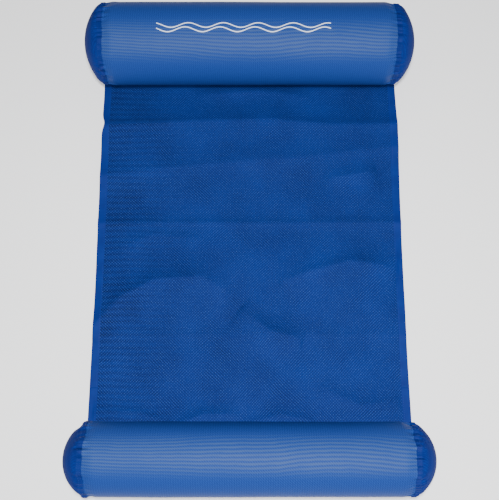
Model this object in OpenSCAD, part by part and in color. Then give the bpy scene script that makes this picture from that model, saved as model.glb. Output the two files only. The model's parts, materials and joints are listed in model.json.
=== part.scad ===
// Pool float: two inflated rolls in mesh sleeves, joined by a folding mesh sling.
// Origin at the middle of the footprint, on the ground. +Y towards the head roll, +Z up.
// All sizes are in millimetres.

/* [Overall] */
// Width of each roll over its domed ends
roll_w = 700; // [560:10:900]
// Length over both rolls
float_l = 1013; // [840:1:1300]

/* [Rolls] */
// Radius of the head roll
head_r = 86; // [68:1:110]
// Radius of the foot roll
foot_r = 69; // [56:1:95]
// How much the head sleeve draws in at its end seams
head_pinch = 6; // [3:0.5:10]
// How much the foot sleeve draws in at its end seams
foot_pinch = 4.5; // [2:0.5:8]
// Length over which a sleeve draws in to its end seam
shoulder_l = 25; // [12:1:50]
// Width of the flat that a roll rests on
rest_w = 30; // [20:1:40]

/* [Roll ends] */
// How far an end cap domes out past its seam
dome_h = 43; // [34:1:55]
// Radius of the rounded shoulder of a dome
knuckle_r = 25; // [16:1:30]
// Width of the band sewn over an end seam
band_w = 10.5; // [8:0.5:16]
// Thickness of the band sewn over an end seam
band_t = 1.2; // [0.8:0.1:2]

/* [Fabric and film] */
// Thickness of the mesh of the sleeves, caps and sling
mesh_t = 0.8; // [0.6:0.1:1.1]
// Thickness of the bladder film
film_t = 0.4; // [0.3:0.1:0.8]
// Clearance between the mesh and the bladder
film_gap = 0.4; // [0.3:0.1:1]

/* [Sling] */
// How far the sling's hems reach past the end seams of the rolls
hem_reach = 13; // [6:1:20]
// Width of a hem
hem_w = 16.5; // [10:0.5:25]
// Thickness of a hem
hem_t = 1.2; // [1.2:0.1:1.4]
// Length of the sling from the head seam to the first crease
head_panel_l = 96.5; // [60:0.5:130]
// Distance from one crease to the next
crease_pitch = 238; // [160:1:245]
// Free strip along a crease, in which the fabric bends
crease_gap = 6; // [6:0.5:10]
// Angle of a sling seam round its roll, from straight down
seam_angle = 28; // [24:1:32]
// Distance of the bend at a sling seam from the sleeve
seam_clear = 1.2; // [1.2:0.1:2]
// Free strip at a sling seam, in which the fabric bends
seam_gap = 2; // [1.5:0.5:4]

/* [Stitching] */
// Width of a row of stitches
thread_w = 0.8; // [0.5:0.1:1.2]
// Height of a row of stitches above its fabric
thread_h = 0.3; // [0.2:0.05:0.4]
// Distance of a row of stitches from the edge that it holds
stitch_inset = 2.5; // [2:0.5:3.5]
// Length of a bartack at a corner of the sling
bartack_l = 11; // [6:1:14]
// Width of a bartack at a corner of the sling
bartack_w = 3; // [2:0.5:4]

/* [Valves] */
// Angle of the head roll's valve below level
head_valve_tilt = 20; // [18:1:24]
// Angle of the foot roll's valve below level
foot_valve_tilt = 28; // [27:1:32]
// Radius of the hole in the mesh round a valve
access_r = 15.5; // [15:0.5:17]
// Width of the binding round that hole
collar_w = 3.5; // [2.5:0.5:4]
// Thickness of that binding
collar_t = 0.9; // [0.6:0.1:1.2]
// Radius of the flange welded to the bladder
flange_r = 13.6; // [12:0.1:14.5]
// Thickness of the flange
flange_t = 1.5; // [1.2:0.1:2]
// Outer radius of the neck that guides the stem
neck_r = 7.6; // [7:0.1:9]
// Length of the neck
neck_l = 12; // [9:1:16]
// Outer radius of the stem
stem_r = 5; // [4.5:0.1:5.5]
// Radius of the air passage in the stem
bore_r = 3.4; // [3:0.1:3.8]
// Radius of the stem's rim
rim_r = 7; // [6.6:0.1:7.4]
// Thickness of the stem's rim
rim_t = 1.6; // [1.2:0.1:2]
// How far the stem pulls out
stem_travel = 12; // [8:1:16]
// Radius of the bead that stops the stem
bead_r = 6.2; // [6:0.1:6.8]
// Thickness of the bead
bead_t = 1.6; // [1.2:0.1:2.4]
// Radius of the plug's head
plug_r = 6.5; // [6:0.1:7]
// Thickness of the plug's head
plug_t = 1.8; // [1.4:0.1:2.4]
// Length of the plug's shank
plug_l = 9; // [6:1:12]
// Wall of the plug's shank
plug_wall = 1.1; // [0.8:0.1:1.6]
// Radius of the check flap
flap_r = 5.2; // [4.6:0.1:5.8]
// Thickness of the check flap
flap_t = 0.8; // [0.6:0.1:1.2]
// Width of the plug's tether
tether_w = 3; // [2:0.5:4]
// Thickness of the plug's tether
tether_t = 0.7; // [0.5:0.1:0.9]
// How far the tether loops out past the rim
tether_reach = 5; // [3:0.5:5.5]
// Radial clearance of a sliding fit
slide_fit = 0.05; // [0.03:0.01:0.1]
// Gap between faces that close on each other
face_gap = 0.1; // [0.1:0.05:0.2]

/* [Hidden] */
$fn = 96;
rolls = ["head", "foot"];
sides = ["left", "right"];
roll_parts = [
    "sleeve", "cap_left", "cap_right", "seam_band_left", "seam_band_right", "band_stitches",
    "bladder_tube", "bladder_end_left", "bladder_end_right",
    "valve_flange", "valve_collar", "valve_stem", "valve_flap", "valve_plug", "plug_tether",
    "seam_stitches", "bartacks"
];
panel_parts = ["sling_panel", "hem_left", "hem_right", "hem_stitches"];

half_w = roll_w / 2;
seam_x = half_w - dome_h;
sling_half = seam_x + hem_reach;
panel_half = sling_half - hem_w;
neck_bore_r = stem_r + slide_fit;
mesh_blue = "#1a4b96";
roll_blue = "#33609c";
hem_blue = "#0f4096";
film_blue = "#4f7fc0";
valve_white = "#dfe5ea";
thread_blue = "#12408c";

// Sizes and places that differ from one roll to the other
function roll_r(roll) = roll == "head" ? head_r : foot_r;
function seam_r(roll) = roll_r(roll) - (roll == "head" ? head_pinch : foot_pinch);
function roll_y(roll) = roll == "head" ? float_l / 2 - head_r : foot_r - float_l / 2;
function roll_z(roll) = sqrt(pow(roll_r(roll), 2) - pow(rest_w / 2, 2));
function valve_tilt(roll) = roll == "head" ? head_valve_tilt : foot_valve_tilt;
function to_sling(roll) = roll == "head" ? -1 : 1;

// How far the bladder lies inside the sleeve's surface: it is round, and clears the flat under the roll
function film_inset(roll) = roll_r(roll) - roll_z(roll) + mesh_t + film_gap;

// Radius of a dome's crown, which meets the shoulder smoothly, and the place of its centre
function crown_r(roll) =
    (pow(dome_h, 2) + pow(seam_r(roll), 2) - 2 * seam_r(roll) * knuckle_r) / (2 * (dome_h - knuckle_r));
function crown_x(roll) = half_w - crown_r(roll);
function crown_span(roll) = atan2(seam_r(roll) - knuckle_r, seam_x - crown_x(roll));

// Outline of a sleeve as [radius, x], from one end to the other, inset from the surface and run past its ends
shoulder_steps = 8;
function shoulder(roll, inset, past = 0) = concat(
    [for (i = [0:shoulder_steps]) let (u = i / shoulder_steps) [
        roll_r(roll) - inset - (roll_r(roll) - seam_r(roll)) * (1 - cos(180 * u)) / 2,
        seam_x - shoulder_l * (1 - u)
    ]],
    past > 0 ? [[seam_r(roll) - inset, seam_x + past]] : []
);
function sleeve_outline(roll, inset, past = 0) = concat(
    [for (p = reversed(shoulder(roll, inset, past))) [p[0], -p[1]]],
    shoulder(roll, inset, past)
);

// Outline of a dome as [radius, x], from the end seam to its tip, inset from the surface
dome_steps = 7;
function arc(cr, cx, r, from, to) =
    [for (i = [0:dome_steps]) let (a = from + (to - from) * i / dome_steps) [cr + r * sin(a), cx + r * cos(a)]];
function dome_outline(roll, inset) = concat(
    arc(seam_r(roll) - knuckle_r, seam_x, knuckle_r - inset, 90, crown_span(roll)),
    [for (i = [1:dome_steps]) arc(0, crown_x(roll), crown_r(roll) - inset, crown_span(roll), 0)[i]]
);
function reversed(list) = [for (i = [len(list) - 1:-1:0]) list[i]];

// Radius of the roll's surface at a distance x from its middle, near the end seam
function surface_r(roll, x) = x < seam_x
    ? roll_r(roll) - (roll_r(roll) - seam_r(roll)) * (1 - cos(180 * (x - seam_x + shoulder_l) / shoulder_l)) / 2
    : seam_r(roll) - knuckle_r + sqrt(pow(knuckle_r, 2) - pow(x - seam_x, 2));

// Lines that the fabric bends along, as [y, z]
function seam_line(roll) = [
    roll_y(roll) + to_sling(roll) * (roll_r(roll) + seam_clear) * sin(seam_angle),
    roll_z(roll) - (roll_r(roll) + seam_clear) * cos(seam_angle)
];
function crease_line(i) = [seam_line("head")[0] - head_panel_l - crease_pitch * (i - 1), hem_t / 2];
function foot_end(i) = i == 4 ? seam_line("foot") : crease_line(i);
function head_end(i) = i == 1 ? seam_line("head") : crease_line(i - 1);
function foot_gap(i) = i == 4 ? seam_gap : crease_gap / 2;
function head_gap(i) = i == 1 ? seam_gap : crease_gap / 2;
function panel_l(i) = norm(head_end(i) - foot_end(i));

module at_roll(roll) {
    translate([0, roll_y(roll), roll_z(roll)]) children();
}

module on_side(side) {
    mirror([side == "left" ? 1 : 0, 0, 0]) children();
}

// Turns [radius, x] outlines about the roll's axis
module turned(points) {
    rotate([0, 90, 0]) rotate_extrude($fn = 128) polygon(points);
}

// A tube cut level near the ground, at its inset from the surface
module tube_solid(roll, inset, past = 0) {
    end = seam_x + past;
    intersection() {
        turned(concat([[0, -end]], sleeve_outline(roll, inset, past), [[0, end]]));
        translate([-roll_w, -2 * head_r, inset - roll_z(roll)]) cube([2 * roll_w, 4 * head_r, 4 * head_r]);
    }
}

module dome_shell(roll, inset, wall) {
    turned(concat(dome_outline(roll, inset), reversed(dome_outline(roll, inset + wall))));
}

// The valve's frame: origin at the centre of the left dome's crown, +Z out along the valve
module at_valve(roll) {
    at_roll(roll) mirror([1, 0, 0]) translate([crown_x(roll), 0, 0]) rotate([0, 90 + valve_tilt(roll), 0]) children();
}

// A disc bent to a sphere about the crown's centre, between two radii from it
module crown_patch(low_r, high_r, disc_r) {
    intersection() {
        difference() {
            sphere(high_r, $fn = 160);
            sphere(low_r, $fn = 160);
        }
        cylinder(h = high_r + 1, r = disc_r);
    }
}

// Heights along the valve, from the crown's centre
function film_top(roll) = crown_r(roll) - film_inset(roll);
function seat_z(roll) = film_top(roll) + flange_t + face_gap;
function rim_top(roll) = seat_z(roll) + face_gap + rim_t;
function bead_top(roll) = seat_z(roll) - neck_l - stem_travel - face_gap;
function bead_base(roll) = bead_top(roll) - bead_t;

module sleeve(roll) {
    color(roll_blue) at_roll(roll) difference() {
        tube_solid(roll, 0);
        tube_solid(roll, mesh_t, 1);
    }
}

module cap(roll, side) {
    color(mesh_blue) difference() {
        at_roll(roll) on_side(side) dome_shell(roll, 0, mesh_t);
        if (side == "left") at_valve(roll) cylinder(h = crown_r(roll) + 5, r = access_r);
    }
}

module seam_band(roll, side) {
    steps = 6;
    xs = [for (i = [0:steps]) seam_x + band_w * (i / steps - 0.5)];
    low = [for (x = xs) [surface_r(roll, x) + face_gap, x]];
    high = [for (x = xs) [surface_r(roll, x) + face_gap + band_t, x]];
    color(hem_blue) at_roll(roll) on_side(side) turned(concat(low, reversed(high)));
}

// Two rows of stitches round each band
module band_stitches(roll) {
    color(thread_blue) at_roll(roll) for (side = sides, edge = [-1, 1]) {
        x = seam_x + edge * (band_w / 2 - stitch_inset);
        near = x - thread_w / 2;
        far = x + thread_w / 2;
        r = max(surface_r(roll, near), surface_r(roll, far)) + band_t + 2 * face_gap;
        on_side(side) turned([[r, near], [r + thread_h, near], [r + thread_h, far], [r, far]]);
    }
}

module bladder_tube(roll) {
    outside = sleeve_outline(roll, film_inset(roll));
    inside = sleeve_outline(roll, film_inset(roll) + film_t);
    color(film_blue) at_roll(roll) turned(concat(outside, reversed(inside)));
}

module bladder_end(roll, side) {
    color(film_blue) difference() {
        at_roll(roll) on_side(side) dome_shell(roll, film_inset(roll), film_t);
        if (side == "left") at_valve(roll) cylinder(h = crown_r(roll), r = neck_r + face_gap);
    }
}

module valve_flange(roll) {
    color(valve_white) at_valve(roll) difference() {
        union() {
            crown_patch(film_top(roll), film_top(roll) + flange_t, flange_r);
            translate([0, 0, seat_z(roll) - neck_l]) cylinder(h = neck_l, r = neck_r);
        }
        translate([0, 0, seat_z(roll) - neck_l - 1]) cylinder(h = neck_l + 2, r = neck_bore_r);
    }
}

module valve_collar(roll) {
    color(hem_blue) at_valve(roll) difference() {
        crown_patch(crown_r(roll), crown_r(roll) + collar_t, access_r + collar_w);
        cylinder(h = crown_r(roll) + 5, r = access_r);
    }
}

module valve_stem(roll) {
    color(valve_white) at_valve(roll) difference() {
        union() {
            translate([0, 0, rim_top(roll) - rim_t]) cylinder(h = rim_t, r = rim_r);
            translate([0, 0, bead_base(roll)]) cylinder(h = rim_top(roll) - bead_base(roll), r = stem_r);
            translate([0, 0, bead_base(roll)]) cylinder(h = bead_t, r = bead_r);
        }
        translate([0, 0, bead_base(roll) - 1]) cylinder(h = rim_top(roll) - bead_base(roll) + 2, r = bore_r);
    }
}

module valve_flap(roll) {
    color(valve_white) at_valve(roll) translate([0, 0, bead_base(roll) - face_gap - flap_t])
        cylinder(h = flap_t, r = flap_r);
}

module valve_plug(roll) {
    shank_r = bore_r - slide_fit;
    base = rim_top(roll) + face_gap;
    color(valve_white) at_valve(roll) difference() {
        union() {
            translate([0, 0, base]) cylinder(h = plug_t, r = plug_r);
            translate([0, 0, base - plug_l]) cylinder(h = plug_l + plug_t / 2, r = shank_r);
        }
        translate([0, 0, base - plug_l - 1]) cylinder(h = plug_l + 1, r = shank_r - plug_wall);
    }
}

// A strap that loops from the side of the stem's rim to the side of the plug's head
module plug_tether(roll) {
    low_z = rim_top(roll) - rim_t / 2;
    high_z = rim_top(roll) + face_gap + plug_t / 2;
    bend_r = (high_z - low_z) / 2;
    bend_y = rim_r + tether_reach;
    color(valve_white) at_valve(roll) rotate([90, 0, 90]) linear_extrude(tether_w, center = true) {
        translate([rim_r + face_gap, low_z - tether_t / 2]) square([bend_y - rim_r - face_gap, tether_t]);
        translate([plug_r - face_gap, high_z - tether_t / 2]) square([bend_y - plug_r + face_gap, tether_t]);
        translate([bend_y, low_z + bend_r]) difference() {
            circle(bend_r + tether_t / 2, $fn = 48);
            circle(bend_r - tether_t / 2, $fn = 48);
            translate([-3 * bend_r, -3 * bend_r]) square([3 * bend_r, 6 * bend_r]);
        }
    }
}

// A flat bar on one panel, between two widths, two distances from its foot end and two heights
module panel_bar(i, x, along, height) {
    step = head_end(i) - foot_end(i);
    translate([0, foot_end(i)[0], foot_end(i)[1]]) rotate([atan2(step[1], step[0]), 0, 0])
        translate([x[0], along[0], height[0]]) cube([x[1] - x[0], along[1] - along[0], height[1] - height[0]]);
}

// Heights of the panel's fabrics over the lines that it bends along
function whole(i) = [foot_gap(i), panel_l(i) - head_gap(i)];
mesh_layer = [-hem_t / 2, mesh_t - hem_t / 2];
hem_layer = [-hem_t / 2, hem_t / 2];
function thread_on(layer) = [layer[1], layer[1] + thread_h];

module sling_panel(i) {
    color(mesh_blue) panel_bar(i, [-panel_half, panel_half], whole(i), mesh_layer);
}

module hem(i, side) {
    color(hem_blue) on_side(side) panel_bar(i, [panel_half, sling_half], whole(i), hem_layer);
}

// A row of stitches along the inner edge of each hem
module hem_stitches(i) {
    x = panel_half + stitch_inset;
    color(thread_blue) for (side = sides)
        on_side(side) panel_bar(i, [x - thread_w / 2, x + thread_w / 2], whole(i), thread_on(hem_layer));
}

// The panel that ends at a roll, and a stretch of it counted from that roll's seam line
function end_panel(roll) = roll == "head" ? 1 : 4;
function from_seam(roll, near, far) = roll == "foot" ? [near, far] : [panel_l(1) - far, panel_l(1) - near];
seam_row = seam_gap + stitch_inset;

module seam_stitches(roll) {
    stretch = from_seam(roll, seam_row, seam_row + thread_w);
    color(thread_blue) panel_bar(end_panel(roll), [-panel_half, panel_half], stretch, thread_on(mesh_layer));
}

// A dense block of stitches across each hem, next to the roll
module bartacks(roll) {
    x = panel_half + stitch_inset + thread_w;
    stretch = from_seam(roll, seam_row, seam_row + bartack_w);
    color(thread_blue) for (side = sides)
        on_side(side) panel_bar(end_panel(roll), [x, x + bartack_l], stretch, thread_on(hem_layer));
}

for (roll = rolls) {
    sleeve(roll);
    band_stitches(roll);
    bladder_tube(roll);
    valve_flange(roll);
    valve_collar(roll);
    valve_stem(roll);
    valve_flap(roll);
    valve_plug(roll);
    plug_tether(roll);
    seam_stitches(roll);
    bartacks(roll);
}
for (roll = rolls, side = sides) {
    cap(roll, side);
    seam_band(roll, side);
    bladder_end(roll, side);
}
for (i = [1:4]) {
    sling_panel(i);
    hem(i, "left");
    hem(i, "right");
    hem_stitches(i);
}
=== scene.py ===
"""Looks of the pool float: two inflated rolls in mesh sleeves, joined by a creased mesh sling."""

import json
import math

import bpy
import numpy as np
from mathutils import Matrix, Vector, noise


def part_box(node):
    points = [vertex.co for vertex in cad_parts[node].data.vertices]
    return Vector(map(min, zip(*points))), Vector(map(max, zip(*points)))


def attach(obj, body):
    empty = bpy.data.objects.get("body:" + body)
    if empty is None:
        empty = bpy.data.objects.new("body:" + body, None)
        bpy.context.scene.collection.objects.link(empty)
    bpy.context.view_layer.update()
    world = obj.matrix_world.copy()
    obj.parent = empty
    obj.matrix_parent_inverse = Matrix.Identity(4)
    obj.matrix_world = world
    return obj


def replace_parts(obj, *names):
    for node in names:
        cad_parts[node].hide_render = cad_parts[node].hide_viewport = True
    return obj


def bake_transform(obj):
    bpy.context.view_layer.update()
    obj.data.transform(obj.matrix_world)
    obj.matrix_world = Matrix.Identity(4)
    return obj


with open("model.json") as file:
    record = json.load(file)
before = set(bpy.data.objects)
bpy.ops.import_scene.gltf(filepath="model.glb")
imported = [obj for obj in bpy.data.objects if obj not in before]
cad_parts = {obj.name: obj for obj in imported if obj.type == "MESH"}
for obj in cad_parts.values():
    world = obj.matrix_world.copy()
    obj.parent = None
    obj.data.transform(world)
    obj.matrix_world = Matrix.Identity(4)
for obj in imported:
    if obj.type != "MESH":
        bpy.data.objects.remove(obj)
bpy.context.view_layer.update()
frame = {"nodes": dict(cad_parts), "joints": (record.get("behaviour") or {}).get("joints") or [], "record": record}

MM = 0.001
TAU = 2 * math.pi
JOINTS = {joint["name"]: joint for joint in frame["joints"]}


# ---------------------------------------------------------------- places taken from the frame

def roll_facts(name):
    """Sizes and places of a roll: radius, axis, end seams and domes, and the side that the sling is on."""
    low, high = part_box(f"{name}_sleeve")
    cap_low, cap_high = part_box(f"{name}_cap_right")
    radius = (high.y - low.y) / 2
    return {
        "name": name,
        "r": radius,
        "y": (high.y + low.y) / 2,
        "z": high.z - radius,
        "seam_x": high.x,
        "seam_r": (cap_high.y - cap_low.y) / 2,
        "tip_x": cap_high.x,
        "to_sling": -1 if name == "head" else 1,
        "body": f"{name}_roll",
        "bend": Vector(JOINTS[f"{name}_seam_hinge"]["pos_m"]),
    }


HEAD = roll_facts("head")
FOOT = roll_facts("foot")
CREASES = [Vector(JOINTS[f"crease_{i}_fold"]["pos_m"]) for i in (1, 2, 3)]
HEM_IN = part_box("hem_right_3")[0].x
SLING_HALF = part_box("hem_right_3")[1].x
HEM_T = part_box("hem_right_3")[1].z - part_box("hem_right_3")[0].z
BAND_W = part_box("head_seam_band_right")[1].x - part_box("head_seam_band_right")[0].x

# Width of the binding round a valve's hole, thickness of the mesh, and distance from stitch to stitch
COLLAR_W = 3.5 * MM
CLOTH_T = 0.8 * MM
STITCH_PITCH = 4 * MM

# How far the mesh reaches in under a hem, which is also where the hem's stitches run
SEWN_IN = 3 * MM

# A sleeve draws in to its end seam over one length, and a dome turns in over a rounded edge of another
SHOULDER_L = 25 * MM
KNUCKLE_R = 25 * MM

# How many steps a ring of cloth round a roll has
ROUND_STEPS = 240


# ---------------------------------------------------------------- small tools

def linear(hex_colour):
    """An sRGB hex colour as linear RGBA."""
    def channel(c):
        return c / 12.92 if c <= 0.04045 else ((c + 0.055) / 1.055) ** 2.4
    values = [int(hex_colour[i:i + 2], 16) / 255 for i in (1, 3, 5)]
    return (*[channel(c) for c in values], 1.0)


def only(piece):
    """Selects one piece and makes it active."""
    bpy.ops.object.select_all(action="DESELECT")
    piece.select_set(True)
    bpy.context.view_layer.objects.active = piece


def added(name):
    """The primitive that was just added, named and alone in the selection."""
    piece = bpy.context.object
    piece.name = name
    only(piece)
    return piece


def settled(piece):
    """Puts a piece's place, turn and size into its mesh."""
    only(piece)
    bpy.ops.object.transform_apply(location=True, rotation=True, scale=True)
    return piece


def modified(piece, kind, **settings):
    """Adds a modifier and applies it."""
    only(piece)
    modifier = piece.modifiers.new(kind.lower(), kind)
    for key, value in settings.items():
        setattr(modifier, key, value)
    bpy.ops.object.modifier_apply(modifier=modifier.name)
    return piece


def smooth(piece, degrees=40):
    """Shades a piece smooth but for its sharp edges."""
    only(piece)
    bpy.ops.object.shade_smooth_by_angle(angle=math.radians(degrees))
    return piece


def points_of(piece):
    """The points of a piece, one row each."""
    co = np.empty(len(piece.data.vertices) * 3)
    piece.data.vertices.foreach_get("co", co)
    return co.reshape(-1, 3)


def move_points(piece, co):
    piece.data.vertices.foreach_set("co", np.asarray(co, float).ravel())
    piece.data.update()


def copied(piece, name):
    """A copy of a piece with its own mesh."""
    only(piece)
    bpy.ops.object.duplicate()
    return added(name)


def cut_away(piece, point, normal):
    """Cuts a piece by a plane and keeps what lies behind the plane's normal."""
    only(piece)
    bpy.ops.object.mode_set(mode="EDIT")
    bpy.ops.mesh.select_all(action="SELECT")
    bpy.ops.mesh.bisect(plane_co=point, plane_no=normal, clear_outer=True)
    bpy.ops.object.mode_set(mode="OBJECT")
    return piece


def finish_piece(piece, material):
    """Gives a piece its material."""
    piece.data.materials.clear()
    piece.data.materials.append(material)
    return piece


def ripple(x, y, seed):
    """Smooth noise from -1 to 1."""
    return noise.noise(Vector((x, y, seed)))


# ---------------------------------------------------------------- materials

def new_material(name):
    """An empty material, its nodes and its shader."""
    material = bpy.data.materials.new(name)
    material.use_nodes = True
    return material, material.node_tree, material.node_tree.nodes["Principled BSDF"]


def add(tree, kind, links=None, **settings):
    """Adds a node with its settings, and links the named inputs."""
    node = tree.nodes.new(kind)
    for key, value in settings.items():
        if hasattr(node, key):
            setattr(node, key, value)
        else:
            node.inputs[key].default_value = value
    for key, source in (links or {}).items():
        tree.links.new(source, node.inputs[key])
    return node


def maths(tree, operation, a, b=None):
    """A Math node, with sockets or numbers as its two values."""
    node = add(tree, "ShaderNodeMath", operation=operation)
    for slot_number, value in enumerate((a, b)):
        if isinstance(value, (int, float)):
            node.inputs[slot_number].default_value = value
        elif value is not None:
            tree.links.new(value, node.inputs[slot_number])
    return node.outputs[0]


def summed(tree, *shares):
    """The sum of some values, each given with its share."""
    total = None
    for value, share in shares:
        part = maths(tree, "MULTIPLY", value, share)
        total = part if total is None else maths(tree, "ADD", total, part)
    return total


def ramp(tree, value, start, end, **settings):
    """0 where a value is at the start of a range, and 1 at its end and past it."""
    node = add(tree, "ShaderNodeMapRange", {"Value": value}, **settings)
    node.inputs["From Min"].default_value = start
    node.inputs["From Max"].default_value = end
    return node.outputs[0]


def mottle(tree, place, scale, detail, roughness=0.5):
    """Smooth noise from 0 to 1."""
    settings = {"Scale": scale, "Detail": detail, "Roughness": roughness}
    return add(tree, "ShaderNodeTexNoise", {"Vector": place}, **settings).outputs[0]


def wave_of(tree, value, period):
    """A sine wave from 0 to 1 along a value in metres."""
    turns = maths(tree, "MULTIPLY", value, TAU / period)
    return maths(tree, "ADD", maths(tree, "MULTIPLY", maths(tree, "SINE", turns), 0.5), 0.5)


def cloth_coordinates(tree):
    """The piece's own cloth coordinates, in metres along and across its weave."""
    uv = add(tree, "ShaderNodeTexCoord").outputs["UV"]
    split = add(tree, "ShaderNodeSeparateXYZ", {"Vector": uv})
    return uv, split.outputs["X"], split.outputs["Y"]


def blended(tree, factor, low, high):
    """A colour between two, each a socket or a colour."""
    mix = add(tree, "ShaderNodeMix", {0: factor}, data_type="RGBA")
    for key, value in ((6, low), (7, high)):
        if isinstance(value, tuple):
            mix.inputs[key].default_value = value
        else:
            tree.links.new(value, mix.inputs[key])
    return mix.outputs[2]


def coloured(tree, shader, colour):
    tree.links.new(colour, shader.inputs["Base Color"])


def embossed(tree, shader, height, strength, depth):
    """Lets light catch the relief of a pattern."""
    bump = add(tree, "ShaderNodeBump", {"Height": height}, Strength=strength, Distance=depth)
    tree.links.new(bump.outputs["Normal"], shader.inputs["Normal"])


def surface(shader, roughness, shine):
    """Sets how rough a surface is and how much it mirrors."""
    shader.inputs["Roughness"].default_value = roughness
    shader.inputs["Specular IOR Level"].default_value = shine


def mesh_cloth(name, dark, light, speck, pitch, roughness):
    """Coated polyester mesh, seen as open squares on the bias, with a few threads whose glints are painted in as
    light specks.

    The real pitch is about 1.4 mm, finer than a view of the whole float can show, so it is drawn two to three
    times as coarse. Painted shade darkens the cloth a little towards the left edge of the sling, in faint bands.
    """
    material, tree, shader = new_material(name)
    uv, u, v = cloth_coordinates(tree)
    sway = maths(tree, "MULTIPLY", mottle(tree, uv, 6, 2), 5 * pitch)
    bias_pitch = pitch * 1.414
    up = wave_of(tree, maths(tree, "ADD", maths(tree, "ADD", u, v), sway), bias_pitch)
    down = wave_of(tree, maths(tree, "ADD", maths(tree, "SUBTRACT", u, v), sway), bias_pitch)
    leaning = ramp(tree, mottle(tree, uv, 11, 3), 0.4, 0.6)
    hatch = add(tree, "ShaderNodeMix", {0: leaning, 2: up, 3: down}).outputs[0]
    patches = mottle(tree, uv, 10, 4, roughness=0.55)
    grit = mottle(tree, uv, 430, 2)
    # Painted shade: faint bands that darken the cloth towards the sling's left edge, where less light falls
    beat = wave_of(tree, maths(tree, "ADD", v, sway), 13 * MM)
    painted_shade_left = ramp(tree, u, -0.12, -0.3)
    shade = maths(tree, "MULTIPLY", maths(tree, "SUBTRACT", beat, 1.0), painted_shade_left)
    tone = summed(tree, (hatch, 0.36), (shade, 0.16), (patches, 0.55), (grit, 0.8))
    tone = add(tree, "ShaderNodeClamp", {"Value": maths(tree, "SUBTRACT", tone, 0.42)}).outputs[0]
    # Painted highlight: light specks at some crossings of the weave stand in for threads glinting in the lamp
    dots = maths(tree, "MULTIPLY", up, down)
    painted_glints = ramp(tree, maths(tree, "MULTIPLY", dots, grit), 0.3, 0.95)
    cloth = blended(tree, tone, linear(dark), linear(light))
    coloured(tree, shader, blended(tree, painted_glints, cloth, linear(speck)))
    embossed(tree, shader, hatch, 0.3, 0.4 * MM)
    surface(shader, roughness, 0.12)
    return material


def stretched_mesh(name, highlight_v, reach):
    """The same mesh over inflated film, with the film's gloss painted into its colour as a highlight in fine bands
    along the roll's crown.

    The painted bands stand for the mesh beating against the film's reflection, about 6.5 mm apart here as on the
    float.
    Fine ribs run round the roll, and a faint twill crosses them.
    """
    material, tree, shader = new_material(name)
    uv, u, v = cloth_coordinates(tree)
    fray = mottle(tree, uv, 26, 3)
    sway = summed(tree, (mottle(tree, uv, 2.6, 1), 80 * MM), (fray, 4 * MM))
    bands = wave_of(tree, maths(tree, "ADD", v, sway), 6.5 * MM)
    ribs = wave_of(tree, u, 4.4 * MM)
    twill = wave_of(tree, maths(tree, "ADD", maths(tree, "ADD", u, v), sway), 4.6 * MM)
    weave = summed(tree, (ribs, 0.2), (twill, 0.36), (mottle(tree, uv, 460, 2), 0.7))
    cloth = blended(tree, weave, linear("#0a1850"), linear("#204288"))
    # Painted highlight: a lighter, greyer blue in banded lines along the crown, where a lamp over the lens would
    # gleam on the film
    off_crown = maths(tree, "ABSOLUTE", maths(tree, "SUBTRACT", v, highlight_v))
    crown = ramp(tree, off_crown, reach, 0.25 * reach, interpolation_type="SMOOTHSTEP")
    dotted = maths(tree, "MULTIPLY", bands, maths(tree, "ADD", maths(tree, "MULTIPLY", twill, 0.5), 0.5))
    uneven = maths(tree, "MULTIPLY", dotted, maths(tree, "ADD", fray, 0.5))
    shine = maths(tree, "ADD", maths(tree, "MULTIPLY", uneven, 1.15), 0.06)
    painted_highlight = maths(tree, "MULTIPLY", crown, shine)
    coloured(tree, shader, blended(tree, painted_highlight, cloth, linear("#364c7a")))
    embossed(tree, shader, weave, 0.3, 0.4 * MM)
    surface(shader, 0.5, 0.06)
    return material


def woven_tape(name, dark, light, roughness):
    """Plain polyester binding tape: fine ribs across it, drawn at 2.4 mm where the real ones are 0.8 mm."""
    material, tree, shader = new_material(name)
    uv, _, v = cloth_coordinates(tree)
    ribs = wave_of(tree, v, 2.4 * MM)
    tone = summed(tree, (ribs, 0.2), (mottle(tree, uv, 38, 4), 0.8), (mottle(tree, uv, 900, 1), 0.3))
    coloured(tree, shader, blended(tree, tone, linear(dark), linear(light)))
    embossed(tree, shader, ribs, 0.3, 0.2 * MM)
    surface(shader, roughness, 0.12)
    return material


def sewing_thread(name):
    """Twisted polyester thread: slanting strands with a soft shine, a little lighter than its tape."""
    material, tree, shader = new_material(name)
    uv = cloth_coordinates(tree)[0]
    twist = add(tree, "ShaderNodeTexWave", {"Vector": uv}, Scale=420.0, Distortion=1.0).outputs[0]
    coloured(tree, shader, blended(tree, twist, linear("#021452"), linear("#0d3484")))
    surface(shader, 0.5, 0.25)
    return material


def soft_vinyl(name, low, high, roughness, through):
    """Soft vinyl: smooth and slightly milky, with faint flow marks."""
    material, tree, shader = new_material(name)
    place = add(tree, "ShaderNodeTexCoord").outputs["Object"]
    coloured(tree, shader, blended(tree, mottle(tree, place, 140, 3), linear(low), linear(high)))
    embossed(tree, shader, mottle(tree, place, 1600, 2), 0.12, 0.1 * MM)
    surface(shader, roughness, 0.4)
    shader.inputs["Subsurface Weight"].default_value = through
    shader.inputs["Subsurface Scale"].default_value = 2 * MM
    return material


def printing_ink(name):
    """Screen-printed ink: matte off-white, a little thin where the mesh is open under it."""
    material, tree, shader = new_material(name)
    thin = mottle(tree, cloth_coordinates(tree)[0], 500, 2)
    coloured(tree, shader, blended(tree, thin, linear("#86a4d4"), linear("#ffffff")))
    surface(shader, 0.7, 0.2)
    return material


# The sling's mesh shows its squares and specks plainly, and the caps' mesh is finer and deeper in colour
SLING_MESH = mesh_cloth("polyester_mesh_sling", "#000832", "#053082", "#44689e", 4.2 * MM, 0.75)
CAP_MESH = mesh_cloth("polyester_mesh_cap", "#001154", "#022a7a", "#063282", 3.2 * MM, 0.8)
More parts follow.
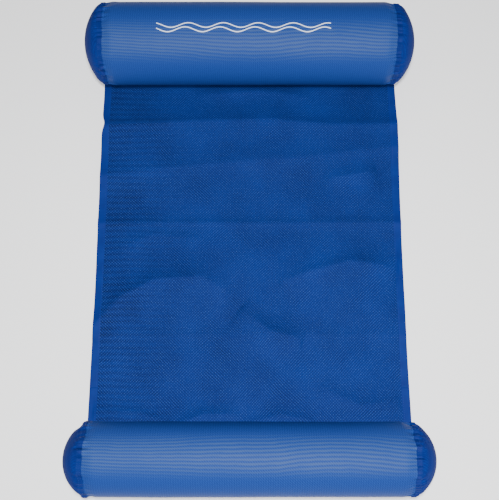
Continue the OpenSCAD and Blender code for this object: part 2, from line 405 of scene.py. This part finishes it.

# Each roll's painted highlight lies along its crown at an angle from straight up, over a spread to each side, both
# in degrees
ROLL_MESHES = {
    roll["name"]: stretched_mesh(
        f"polyester_mesh_over_film_{roll['name']}",
        highlight_v=math.radians(turn) * roll["r"],
        reach=math.radians(spread) * roll["r"],
    )
    for roll, turn, spread in ((HEAD, -24, 36), (FOOT, 6, 42))
}
HEM_TAPE = woven_tape("polyester_tape_hem", "#00104e", "#022672", 0.65)
BAND_TAPE = woven_tape("polyester_tape_band", "#000e4a", "#02226a", 0.6)
THREAD = sewing_thread("polyester_thread")
FILM = soft_vinyl("vinyl_film", "#0f47a0", "#2c68b8", 0.25, 0.0)
VALVE_VINYL = soft_vinyl("soft_vinyl_valve", "#9fb6d0", "#cddbe8", 0.38, 0.15)
INK = printing_ink("screen_ink")


# ---------------------------------------------------------------- the sling's cloth

def sling_path():
    """The sling's line from foot roll to head roll, as points (y, z), with its ends wrapped on the rolls."""
    wrap = [math.radians(a) for a in (18, 21, 24)]

    def on_roll(roll):
        centre_y, centre_z = roll["y"], roll["z"]
        reach = Vector((roll["bend"].y - centre_y, roll["bend"].z - centre_z)).length
        return [
            (centre_y + roll["to_sling"] * reach * math.sin(a), centre_z - reach * math.cos(a)) for a in wrap
        ]

    bends = [FOOT["bend"], *reversed(CREASES), HEAD["bend"]]
    return [*on_roll(FOOT), *[(p.y, p.z) for p in bends], *reversed(on_roll(HEAD))]


PATH = np.array(sling_path())
PATH_S = np.concatenate([[0], np.cumsum(np.linalg.norm(np.diff(PATH, axis=0), axis=1))])
SLING_L = float(PATH_S[-1])
FOOT_BEND_S, HEAD_BEND_S = float(PATH_S[3]), float(PATH_S[-4])


def rest_place(s):
    """Where a distance along the sling lies before wrinkles, as (y, z)."""
    return np.interp(s, PATH_S, PATH[:, 0]), np.interp(s, PATH_S, PATH[:, 1])


def along_at(y):
    """The distance along the sling at a place y between the rolls."""
    return float(np.interp(y, PATH[:, 0], PATH_S))


# Folds and wrinkles that the cloth keeps, each a line of (x, y) in metres, then its height, its half width
# on the foot side and that on the head side in millimetres
FOLDS = [
    ([(-0.33, 0.262), (-0.2, 0.268), (-0.1, 0.274), (0.05, 0.276), (0.18, 0.264), (0.33, 0.266)], 15.0, 50, 46),
    ([(-0.33, 0.045), (0.33, 0.045)], 3.0, 9, 9),
    ([(-0.33, -0.193), (0.33, -0.193)], 1.5, 12, 12),
    ([(-0.335, -0.19), (-0.265, -0.115), (-0.196, -0.079), (-0.103, -0.073), (-0.04, -0.105)], 13.0, 34, 26),
    ([(-0.02, -0.14), (0.04, -0.185), (0.11, -0.205)], 10.0, 24, 22),
    ([(0.06, -0.085), (0.13, -0.06), (0.21, -0.04), (0.31, -0.052)], 13.0, 40, 26),
    ([(-0.32, 0.15), (-0.1, 0.175), (0.1, 0.19), (0.32, 0.215)], 7.0, 34, 42),
    ([(0.16, 0.14), (0.27, 0.16)], 7.0, 24, 22),
    ([(-0.31, -0.345), (-0.22, -0.35), (-0.15, -0.375)], 7.0, 16, 12),
    ([(-0.16, -0.378), (-0.09, -0.352), (-0.02, -0.352)], 7.0, 14, 12),
    ([(-0.01, -0.372), (0.06, -0.354), (0.13, -0.366)], 6.0, 14, 12),
    ([(0.14, -0.3), (0.22, -0.335), (0.3, -0.325)], 6.0, 20, 18),
    ([(-0.28, -0.01), (-0.2, 0.02), (-0.1, 0.01)], 4.0, 20, 20),
    ([(-0.12, 0.335), (0.02, 0.345), (0.14, 0.33)], 5.0, 18, 16),
]


def fold_height(x, y, line, height, foot_side, head_side):
    """Height of one fold at each point: a soft ridge along its line that fades at the line's ends."""
    line = np.array(line)
    best = np.full(x.shape, np.inf)
    side = np.zeros(x.shape)
    inside = np.zeros(x.shape)
    run = np.concatenate([[0], np.cumsum(np.linalg.norm(np.diff(line, axis=0), axis=1))])
    for k in range(len(line) - 1):
        start, step = line[k], line[k + 1] - line[k]
        length = np.linalg.norm(step)
        t = np.clip(((x - start[0]) * step[0] + (y - start[1]) * step[1]) / length**2, 0, 1)
        dx, dy = x - start[0] - t * step[0], y - start[1] - t * step[1]
        gap = np.hypot(dx, dy)
        nearer = gap < best
        best = np.where(nearer, gap, best)
        side = np.where(nearer, dy, side)
        inside = np.where(nearer, (run[k] + t * length) / run[-1], inside)
    width = np.where(side > 0, head_side, foot_side) * MM
    reaches_edges = abs(line[0, 0]) > SLING_HALF and abs(line[-1, 0]) > SLING_HALF
    fade = 1.0 if reaches_edges else np.sqrt(np.clip(np.sin(np.pi * inside), 0, 1))
    soft = 3 * MM
    return height * MM * fade * np.exp(-(np.sqrt(best**2 + soft**2) - soft) / width)


def wrinkles(x, y):
    """Height of the cloth over the ground line, from its folds and from its general slackness."""
    total = np.zeros(x.shape)
    for line, height, foot_side, head_side in FOLDS:
        total += fold_height(x, y, line, height, foot_side, head_side)
    slack = np.array([
        4.0 * ripple(4 * px, 7 * py, 1.7)
        + 1.8 * ripple(10 * px, 14 * py, 5.1)
        + 0.3 * ripple(30 * px, 34 * py, 8.3)
        for px, py in zip(x, y)
    ])
    return np.maximum(total + (slack + 3.0) * MM, 0)


def near_rolls(s):
    """1 along the open sling and 0 where it is held by a roll."""
    held = np.minimum(s - FOOT_BEND_S, HEAD_BEND_S - s)
    t = np.clip(held / (35 * MM), 0, 1)
    return t * t * (3 - 2 * t)


def edge_sway(x, y):
    """How far the sling's sides wander in and out."""
    sway = np.array([2.2 * ripple(0.7, 5 * py, 2.9 + np.sign(px)) for px, py in zip(x, y)]) * MM
    left_nick = 5.0 * MM * np.exp(-(((y - CREASES[0].y + 18 * MM) / (14 * MM)) ** 2)) * (x < 0)
    return sway - left_nick


def cloth_place(x, s):
    """Where points of the flat cloth lie, from how far they are across it and along it."""
    y, z = rest_place(s)
    free = near_rolls(s)
    return np.stack([x + free * edge_sway(x, y) * x / SLING_HALF, y, z + free * wrinkles(x, y)], axis=1)


def sling_cloth():
    """The whole sling as one sheet: a fine grid, laid along the path with its wrinkles."""
    step = 3.2 * MM
    across, along = round(2 * SLING_HALF / step), round(SLING_L / step)
    bpy.ops.mesh.primitive_grid_add(x_subdivisions=across, y_subdivisions=along, size=1)
    cloth = added("sling_cloth")
    cloth.scale = (2 * SLING_HALF, SLING_L, 1)
    settled(cloth)
    lay_uv(cloth, lambda co: (co[:, 0], co[:, 1]))
    co = points_of(cloth)
    move_points(cloth, cloth_place(co[:, 0], co[:, 1] + SLING_L / 2))
    return cloth


def lay_uv(piece, place):
    """Gives a piece cloth coordinates in metres, from its points."""
    mesh = piece.data
    layer = mesh.uv_layers.active or mesh.uv_layers.new(name="cloth")
    corner = np.empty(len(mesh.loops), int)
    mesh.loops.foreach_get("vertex_index", corner)
    u, v = place(points_of(piece))
    layer.data.foreach_set("uv", np.stack([u[corner], v[corner]], axis=1).astype(np.float32).ravel())


def strip_of(cloth, name, low_y, high_y, low_x, high_x):
    """A rectangle cut from the sling's cloth."""
    strip = copied(cloth, name)
    for point, normal in (
        ((0, low_y, 0), (0, -1, 0)),
        ((0, high_y, 0), (0, 1, 0)),
        ((low_x, 0, 0), (-1, 0, 0)),
        ((high_x, 0, 0), (1, 0, 0)),
    ):
        cut_away(strip, point, normal)
    return strip


# Where the strips meet, halfway from bend to bend, and a distance past all edges of the sling
BENDS_Y = [bend.y for bend in (HEAD["bend"], *CREASES, FOOT["bend"])]
MIDDLES = [(nearer + further) / 2 for nearer, further in zip(BENDS_Y, BENDS_Y[1:])]
FAR = 1.0

# Each strip crosses one bend: its name, its ends in y, the bodies on its foot and head sides, the bend,
# and the CAD panel that it stands for
STRIPS = [
    ("foot_end", -FAR, MIDDLES[3], "foot_roll", "sling_4", FOOT["bend"], 4),
    ("crease_3", MIDDLES[3], MIDDLES[2], "sling_4", "sling_3", CREASES[2], 3),
    ("crease_2", MIDDLES[2], MIDDLES[1], "sling_3", "sling_2", CREASES[1], 2),
    ("crease_1", MIDDLES[1], MIDDLES[0], "sling_2", "sling_1", CREASES[0], 1),
    ("head_end", MIDDLES[0], FAR, "sling_1", "head_roll", HEAD["bend"], None),
]


def bend_over(piece):
    """Puts a strip's place into its mesh."""
    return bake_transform(piece)


def make_sling():
    """The sling in strips, each with its hems and stitches, and each crossing a crease or a seam."""
    cloth = sling_cloth()
    for name, low, high, foot_side, head_side, bend, panel in STRIPS:
        strip = strip_of(cloth, f"sling_{name}", low, high, -HEM_IN - SEWN_IN, HEM_IN + SEWN_IN)
        hems = [
            make_hem(cloth, f"hem_{side}_{name}", sign, low, high)
            for side, sign in (("left", -1), ("right", 1))
        ]
        length = float(np.ptp(points_of(strip)[:, 1]))
        modified(strip, "SOLIDIFY", thickness=CLOTH_T, offset=0)
        finish_piece(smooth(strip), SLING_MESH)
        rows = make_stitches(f"hem_thread_{name}", hem_rows(low, high), length=3.0 * MM, width=0.9 * MM)
        for piece in (strip, *hems, rows):
            bend_over(piece)
        if panel:
            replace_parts(strip, f"sling_panel_{panel}")
            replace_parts(rows, f"hem_stitches_{panel}")
            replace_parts(hems[0], f"hem_left_{panel}")
            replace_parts(hems[1], f"hem_right_{panel}")
    bpy.data.objects.remove(cloth)


def make_hem(cloth, name, sign, low, high):
    """Binding tape folded round the cloth's edge."""
    inner, outer = sorted((sign * HEM_IN, sign * FAR))
    hem = strip_of(cloth, name, low, high, inner, outer)
    modified(hem, "SOLIDIFY", thickness=HEM_T, offset=0)
    modified(hem, "BEVEL", width=0.8 * MM, segments=2, limit_method="ANGLE", angle_limit=math.radians(60))
    return finish_piece(smooth(hem, 50), HEM_TAPE)


# ---------------------------------------------------------------- stitches

def make_stitches(name, places, length, width):
    """Rows of stitches: one rounded stitch, repeated, with each copy moved to its place.

    A place is a point, the direction of the row and the direction away from the cloth.
    """
    bpy.ops.mesh.primitive_uv_sphere_add(segments=6, ring_count=5, radius=0.5)
    stitch = added(name)
    each = len(stitch.data.vertices)
    modified(stitch, "ARRAY", count=len(places), relative_offset_displace=(2, 0, 0))
    co = points_of(stitch).reshape(-1, each, 3)
    co[:, :, 0] -= co[:, :1, 0] - co[0, 0, 0]
    for copy, (point, along, away) in zip(co, places):
        along, away = np.array(along), np.array(away)
        across = np.cross(along, away)
        shape = np.outer(copy[:, 0] * length, along) + np.outer(copy[:, 1] * width, across)
        copy[:] = point + shape + np.outer(copy[:, 2] * width * 0.7, away)
    move_points(stitch, co)
    lay_uv(stitch, lambda points: (points[:, 0], points[:, 1]))
    return finish_piece(smooth(stitch, 80), THREAD)


def on_cloth(x, s, lift, across=False):
    """Places on the sling's upper face for stitches that run along the sling, or across it."""
    point, ahead, aside = (cloth_place(x + dx, s + ds) for dx, ds in ((0, 0), (0, 0.5 * MM), (0.5 * MM, 0)))
    along, over = ahead - point, aside - point
    away = np.cross(over, along)
    along, over, away = (v / np.linalg.norm(v, axis=1)[:, None] for v in (along, over, away))
    return list(zip(point + away * lift, over if across else along, away))


def hem_rows(low, high):
    """The stitches along both hems between two places in y."""
    s = np.arange(1 * MM, SLING_L - 1 * MM, STITCH_PITCH)
    y = rest_place(s)[0]
    s = s[(y > low + 2 * MM) & (y < high - 2 * MM)]
    left, right = (on_cloth(np.full(s.shape, sign * (HEM_IN + SEWN_IN)), s, HEM_T / 2) for sign in (-1, 1))
    return left + right


def make_seam_stitches(name, body, s):
    """The row that holds the sling's end to its roll, and the dense blocks at its corners."""
    x = np.arange(-HEM_IN + STITCH_PITCH, HEM_IN, STITCH_PITCH)
    row = make_stitches(
        f"{name}_seam_thread", on_cloth(x, np.full(x.shape, s), 0.35 * MM, across=True), 3.0 * MM, 0.7 * MM
    )
    x = np.concatenate([sign * (HEM_IN + np.arange(3.0, 14.0, 0.7) * MM) for sign in (-1, 1)])
    blocks = make_stitches(
        f"{name}_bartack_thread", on_cloth(x, np.full(x.shape, s), HEM_T / 2 - 0.1 * MM), 3.2 * MM, 0.7 * MM
    )
    for piece, node in ((row, "seam_stitches"), (blocks, "bartacks")):
        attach(piece, body)
        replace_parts(piece, f"{name}_{node}")


# ---------------------------------------------------------------- the rolls

def turn_rings(name, roll, outline):
    """Cloth round a roll's axis: a circle, pulled out ring by ring along an outline of (x, radius)."""
    x, radius = outline[0]
    bpy.ops.mesh.primitive_circle_add(
        vertices=ROUND_STEPS, radius=radius, location=(x, roll["y"], roll["z"]), rotation=(0, math.pi / 2, 0)
    )
    piece = settled(added(name))
    bpy.ops.object.mode_set(mode="EDIT")
    bpy.ops.mesh.select_all(action="SELECT")
    for next_x, next_radius in outline[1:]:
        bpy.ops.mesh.extrude_edges_move(TRANSFORM_OT_translate={"value": (next_x - x, 0, 0)})
        if next_radius > 0:
            grow = next_radius / radius
            bpy.ops.transform.resize(value=(1, grow, grow), center_override=(next_x, roll["y"], roll["z"]))
            radius = next_radius
        else:
            bpy.ops.mesh.merge(type="CENTER")
        x = next_x
    bpy.ops.mesh.select_all(action="SELECT")
    bpy.ops.mesh.normals_make_consistent(inside=False)
    bpy.ops.object.mode_set(mode="OBJECT")
    return piece


def eased(t):
    """A slow start and a slow end between 0 and 1."""
    return (1 - math.cos(math.pi * min(max(t, 0), 1))) / 2


def sleeve_radius(roll, x):
    """The sleeve's radius at a distance along it from its middle, drawn in towards its end seam."""
    drawn = eased((abs(x) - roll["seam_x"] + SHOULDER_L) / SHOULDER_L)
    return roll["r"] - (roll["r"] - roll["seam_r"]) * drawn


def dome_outline(roll, steps=9):
    """A dome from its seam to its tip as (x, radius): a rounded shoulder that runs into a flatter crown."""
    rise, seam_r = roll["tip_x"] - roll["seam_x"], roll["seam_r"]
    crown = (rise**2 + seam_r**2 - 2 * seam_r * KNUCKLE_R) / (2 * (rise - KNUCKLE_R))
    meet = math.atan2(seam_r - KNUCKLE_R, roll["seam_x"] - roll["tip_x"] + crown)
    outline = []
    for i in range(steps + 1):
        a = math.pi / 2 + (meet - math.pi / 2) * i / steps
        radius = seam_r - KNUCKLE_R + KNUCKLE_R * math.sin(a)
        outline.append((roll["seam_x"] + KNUCKLE_R * math.cos(a), radius))
    for i in range(1, steps + 1):
        a = meet * (1 - i / steps)
        outline.append((roll["tip_x"] - crown + crown * math.cos(a), crown * math.sin(a)))
    outline[-1] = (roll["tip_x"], 0)
    return outline


def polar(roll, co):
    """Angle round a roll, from straight up towards the head, and distance from its axis, for each point."""
    dy, dz = co[:, 1] - roll["y"], co[:, 2] - roll["z"]
    return np.arctan2(dy, dz), np.hypot(dy, dz)


def puckers(away, angle, seed):
    """How far the gathered end seam lifts the cloth: little folds that die away from the seam."""
    lift = []
    for gap, a, end in zip(away, angle, seed):
        c, s = math.cos(a), math.sin(a)
        folds = abs(ripple(7 * c, 7 * s, end)) + 0.3 * abs(ripple(17 * c, 17 * s, end + 1))
        length = 17 * MM * (0.75 + 0.5 * ripple(5 * c, 5 * s, end + 2))
        lift.append((folds - 0.25) * math.exp(-((gap / length) ** 2)))
    return np.array(lift) * 9 * MM


def swells(x, angle, seed):
    """Slow swells and flats of a soft inflated tube."""
    return np.array([
        0.9 * ripple(3.1 * px, 0.9 * math.cos(a), seed)
        + 0.5 * ripple(9 * px, 2 * math.sin(a), seed + 2)
        for px, a in zip(x, angle)
    ]) * MM


def wander(angle, seed):
    """How far the end seam strays along the roll."""
    return np.array([
        ripple(3 * math.cos(a), 3 * math.sin(a), end + 4)
        + 0.5 * ripple(12 * math.cos(a), 12 * math.sin(a), end + 5)
        for a, end in zip(angle, seed)
    ]) * 3.2 * MM


def lip(roll, x, angle):
    """The foot roll's left seam stands out in a fold at its upper corner, with a notch behind it."""
    if roll["name"] == "head":
        return np.zeros(x.shape)
    corner = np.exp(-(((angle - math.radians(74)) / math.radians(24)) ** 2))
    fold = 5.0 * np.exp(-(((x + roll["seam_x"] - 6 * MM) / (9 * MM)) ** 2))
    notch = 4.0 * np.exp(-(((x + roll["seam_x"] + 13 * MM) / (6 * MM)) ** 2))
    return corner * (fold - notch) * MM


def press_out(roll, piece):
    """Puckers and swells a piece of a roll, and flattens it where it rests on the ground.

    Swells stand proud of the roll on its top and sides only, so that its underside clears the sling.
    """
    co = points_of(piece)
    x = co[:, 0].copy()
    angle, radius = polar(roll, co)
    seed = (3.0 if roll["name"] == "head" else 7.0) + 0.5 * (x < 0)
    away = np.abs(np.abs(x) - roll["seam_x"])
    fade = np.clip(radius / roll["seam_r"] * 1.6 - 0.6, 0, 1)
    lift = puckers(away, angle, seed) + swells(x, angle, roll["r"] * 100) + lip(roll, x, angle)
    swell_room = np.where(np.abs(angle) < math.radians(110), 0.9 * MM, 0)
    radius = np.minimum(radius + fade * lift, np.maximum(radius, roll["r"] + swell_room))
    co[:, 0] = x + np.sign(x) * fade * wander(angle, seed) * np.exp(-away / (18 * MM))
    co[:, 1] = roll["y"] + radius * np.sin(angle)
    co[:, 2] = np.maximum(roll["z"] + radius * np.cos(angle), 0.5 * MM)
    move_points(piece, co)
    return piece


def blow_out(sleeve, half):
    """Lets the air inside stretch a sleeve's gathered ends: a short cloth simulation with its moves capped.

    The seams stay in place under their bands, and so does the middle of the sleeve.
    """
    seam, gathered, farthest = 6 * MM, 60 * MM, 3.5 * MM
    start = points_of(sleeve)
    along = np.abs(start[:, 0])
    held = sleeve.vertex_groups.new(name="held")
    held.add(np.flatnonzero((along > half - seam) | (along < half - gathered)).tolist(), 1.0, "REPLACE")
    only(sleeve)
    cloth = sleeve.modifiers.new("cloth", "CLOTH")
    cloth.settings.quality = 5
    cloth.settings.mass = 0.2
    cloth.settings.tension_stiffness = 25
    cloth.settings.compression_stiffness = 8
    cloth.settings.bending_stiffness = 0.3
    cloth.settings.use_pressure = True
    cloth.settings.uniform_pressure_force = 5
    cloth.settings.vertex_group_mass = held.name
    cloth.settings.effector_weights.gravity = 0
    for moment in range(1, 15):
        bpy.context.scene.frame_set(moment)
    bpy.ops.object.modifier_apply(modifier=cloth.name)
    bpy.context.scene.frame_set(1)
    sleeve.vertex_groups.clear()
    move = points_of(sleeve) - start
    length = np.linalg.norm(move, axis=1, keepdims=True)
    move_points(sleeve, start + move * np.minimum(1, farthest / np.maximum(length, 1e-9)))
    return sleeve


def wrap_uv(roll, piece):
    """Cloth coordinates that run along a roll and round it, in metres, with the join underneath."""
    lay_uv(piece, lambda co: (co[:, 0], polar(roll, co)[0] * roll["r"]))
    layer = piece.data.uv_layers.active.data
    for face in piece.data.polygons:
        turns = [layer[i].uv.y for i in face.loop_indices]
        if max(turns) - min(turns) > roll["r"]:
            for i in face.loop_indices:
                if layer[i].uv.y < 0:
                    layer[i].uv.y += TAU * roll["r"]


def on_roll(piece, roll, node, material, slot):
    """Finishes a piece of a roll, in place of its CAD node."""
    finish_piece(smooth(piece), material)
    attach(piece, roll["body"])
    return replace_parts(piece, f"{roll['name']}_{node}")


def make_sleeve(roll):
    """The sleeve of mesh round a roll, with finer steps near its gathered ends."""
    half, gathered, fine = roll["seam_x"], 44 * MM, 2.2 * MM
    end_xs = [*np.arange(half - gathered, half - fine / 2, fine), half]
    middle_xs = np.linspace(0, end_xs[0], 60)[:-1]
    xs = [*middle_xs, *end_xs]
    xs = [-x for x in reversed(xs[1:])] + xs
    sleeve = turn_rings(f"{roll['name']}_mesh_sleeve", roll, [(x, sleeve_radius(roll, x)) for x in xs])
    wrap_uv(roll, sleeve)
    modified(blow_out(press_out(roll, sleeve), half), "SOLIDIFY", thickness=CLOTH_T, offset=-1)
    on_roll(sleeve, roll, "sleeve", ROLL_MESHES[roll["name"]], "roll_mesh")


def make_cap(roll, side):
    """A domed cap of mesh on one end of a roll."""
    outline = dome_outline(roll)
    if side == "left":
        outline = [(-x, radius) for x, radius in outline]
    cap = turn_rings(f"{roll['name']}_mesh_cap_{side}", roll, outline)
    lay_uv(cap, lambda co: (co[:, 1], co[:, 2]))
    modified(press_out(roll, cap), "SOLIDIFY", thickness=CLOTH_T, offset=-1)
    if side == "left":
        open_for_valve(roll, cap)
    on_roll(cap, roll, f"cap_{side}", CAP_MESH, "cap_mesh")


def open_for_valve(roll, cap):
    """Cuts the round hole that the valve stands in."""
    collar_low, collar_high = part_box(f"{roll['name']}_valve_collar")
    outward = Vector(JOINTS[f"{roll['name']}_stem_slide"]["axis"])
    access_r = (collar_high.y - collar_low.y) / 2 - COLLAR_W
    bpy.ops.mesh.primitive_cylinder_add(
        vertices=48,
        radius=access_r,
        depth=60 * MM,
        location=(collar_low + collar_high) / 2,
        rotation=outward.to_track_quat("Z", "Y").to_euler(),
    )
    cutter = settled(added("valve_opening"))
    modified(cap, "BOOLEAN", operation="DIFFERENCE", object=cutter, solver="EXACT")
    bpy.data.objects.remove(cutter)


def make_band(roll, side):
    """Tape over the end seam, gathered with it."""
    sign = -1 if side == "left" else 1
    outline = [
        (sign * (roll["seam_x"] + x), band_radius(roll, x) + 0.5 * MM)
        for x in np.linspace(-BAND_W / 2, BAND_W / 2, 11)
    ]
    band = turn_rings(f"{roll['name']}_band_{side}", roll, outline)
    wrap_uv(roll, band)
    modified(press_out(roll, band), "SOLIDIFY", thickness=0.9 * MM, offset=1)
    return on_roll(band, roll, f"seam_band_{side}", BAND_TAPE, "band_cloth")


def band_radius(roll, x):
    """The radius under the band, at a distance x outward of the seam."""
    if x < 0:
        return sleeve_radius(roll, roll["seam_x"] + x)
    return roll["seam_r"] - KNUCKLE_R + math.sqrt(KNUCKLE_R**2 - x**2)


def make_band_stitches(roll):
    """Two rows of stitches round each seam band, one to each side of the seam."""
    count = round(TAU * roll["seam_r"] / STITCH_PITCH)
    row_off = 2.6 * MM
    places = []
    for sign in (-1, 1):
        for x in (-row_off, row_off):
            for k in range(count):
                a = TAU * k / count
                away = np.array([0, math.sin(a), math.cos(a)])
                centre = np.array([sign * (roll["seam_x"] + x), roll["y"], roll["z"]])
                place = centre + away * (band_radius(roll, x) + 1.5 * MM)
                places.append((place, (0, math.cos(a), -math.sin(a)), away))
    rows = make_stitches(f"{roll['name']}_band_thread", places, 2.8 * MM, 0.8 * MM)
    press_out(roll, rows)
    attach(rows, roll["body"])
    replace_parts(rows, f"{roll['name']}_band_stitches")


def make_print(roll):
    """A generic mark printed on the head roll's crown: two thin waves, one above the other."""
    width, line_w, swing, wave_l = 355 * MM, 2.2 * MM, 5 * MM, 71 * MM
    for k, turn in enumerate((-4, -10)):
        bpy.ops.mesh.primitive_grid_add(x_subdivisions=220, y_subdivisions=3, size=1)
        wave = added(f"print_wave_{k + 1}")
        co = points_of(wave)
        x = -12 * MM + co[:, 0] * width
        across = co[:, 1] * line_w + swing * np.sin(TAU * x / wave_l + 0.6 * k)
        angle = math.radians(turn) + across / roll["r"]
        radius = roll["r"] + 0.25 * MM
        y, z = roll["y"] + radius * np.sin(angle), roll["z"] + radius * np.cos(angle)
        lay_uv(wave, lambda points: (points[:, 0], points[:, 1]))
        move_points(wave, np.stack([x, y, z], axis=1))
        modified(press_out(roll, wave), "SOLIDIFY", thickness=0.15 * MM, offset=1)
        finish_piece(smooth(wave), INK)
        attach(wave, roll["body"])


def make_roll(roll):
    """All the sewn pieces of a roll."""
    make_sleeve(roll)
    for side in ("left", "right"):
        make_cap(roll, side)
        make_band(roll, side)
    make_band_stitches(roll)


# ---------------------------------------------------------------- CAD pieces that stay as they are

def dress_cad_nodes():
    """Gives the CAD nodes that stay the finish of what they are."""
    finishes = {"bladder_film": FILM, "valve_plastic": VALVE_VINYL, "thread": THREAD, "band_cloth": BAND_TAPE}
    slots = {part["node"]: part["material_slot"] for part in frame["record"]["subparts"]}
    for node, piece in frame["nodes"].items():
        if slots[node] in finishes:
            piece.data.materials.clear()
            piece.data.materials.append(finishes[slots[node]])


# ---------------------------------------------------------------- studio

def lamp(name, place, aim, size, watts, shadow=True):
    """A round soft light, turned towards a point."""
    bpy.ops.object.light_add(type="AREA", location=place)
    light = bpy.context.object
    light.name = name
    light.data.shape = "DISK"
    light.data.size = size
    light.data.energy = watts
    light.data.use_shadow = shadow
    light.rotation_euler = (Vector(aim) - Vector(place)).to_track_quat("-Z", "Y").to_euler()


def make_studio():
    """A pale floor under an even sky, with a flash over the lens and a fill that casts no shadows."""
    bpy.ops.mesh.primitive_plane_add(size=12, location=(0, 0, -0.5 * MM))
    floor = added("studio_floor")
    material, _, shader = new_material("pale_paper")
    shader.inputs["Base Color"].default_value = linear("#fbfbfb")
    surface(shader, 0.9, 0.1)
    floor.data.materials.append(material)

    world = bpy.data.worlds.new("studio_air")
    world.use_nodes = True
    world.node_tree.nodes["Background"].inputs["Color"].default_value = linear("#f4f7ff")
    world.node_tree.nodes["Background"].inputs["Strength"].default_value = 0.3
    bpy.context.scene.world = world

    lamp("flash_over_lens", (0.0, -0.33, 1.95), (0, 0, 0.05), 0.2, 52)
    lamp("fill_at_foot", (0.4, -1.5, 2.2), (0, 0.05, 0.0), 0.4, 64, shadow=False)


def make_camera():
    """Looks down on the float from over its foot end."""
    aim = Vector((0, -12.7 * MM, 0))
    distance, elevation = 1.679, math.radians(75)
    place = aim + distance * Vector((0, -math.cos(elevation), math.sin(elevation)))
    bpy.ops.object.camera_add(location=place)
    camera = bpy.context.object
    camera.name = "view_from_foot"
    camera.data.sensor_width = 36
    camera.data.lens = 57.6
    camera.rotation_euler = (aim - place).to_track_quat("-Z", "Y").to_euler()
    bpy.context.scene.camera = camera


make_camera()
make_studio()
dress_cad_nodes()
make_sling()
for roll in (HEAD, FOOT):
    make_roll(roll)
make_print(HEAD)
make_seam_stitches("head", "sling_1", along_at(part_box("head_seam_stitches")[0].y))
make_seam_stitches("foot", "sling_4", along_at(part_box("foot_seam_stitches")[1].y))
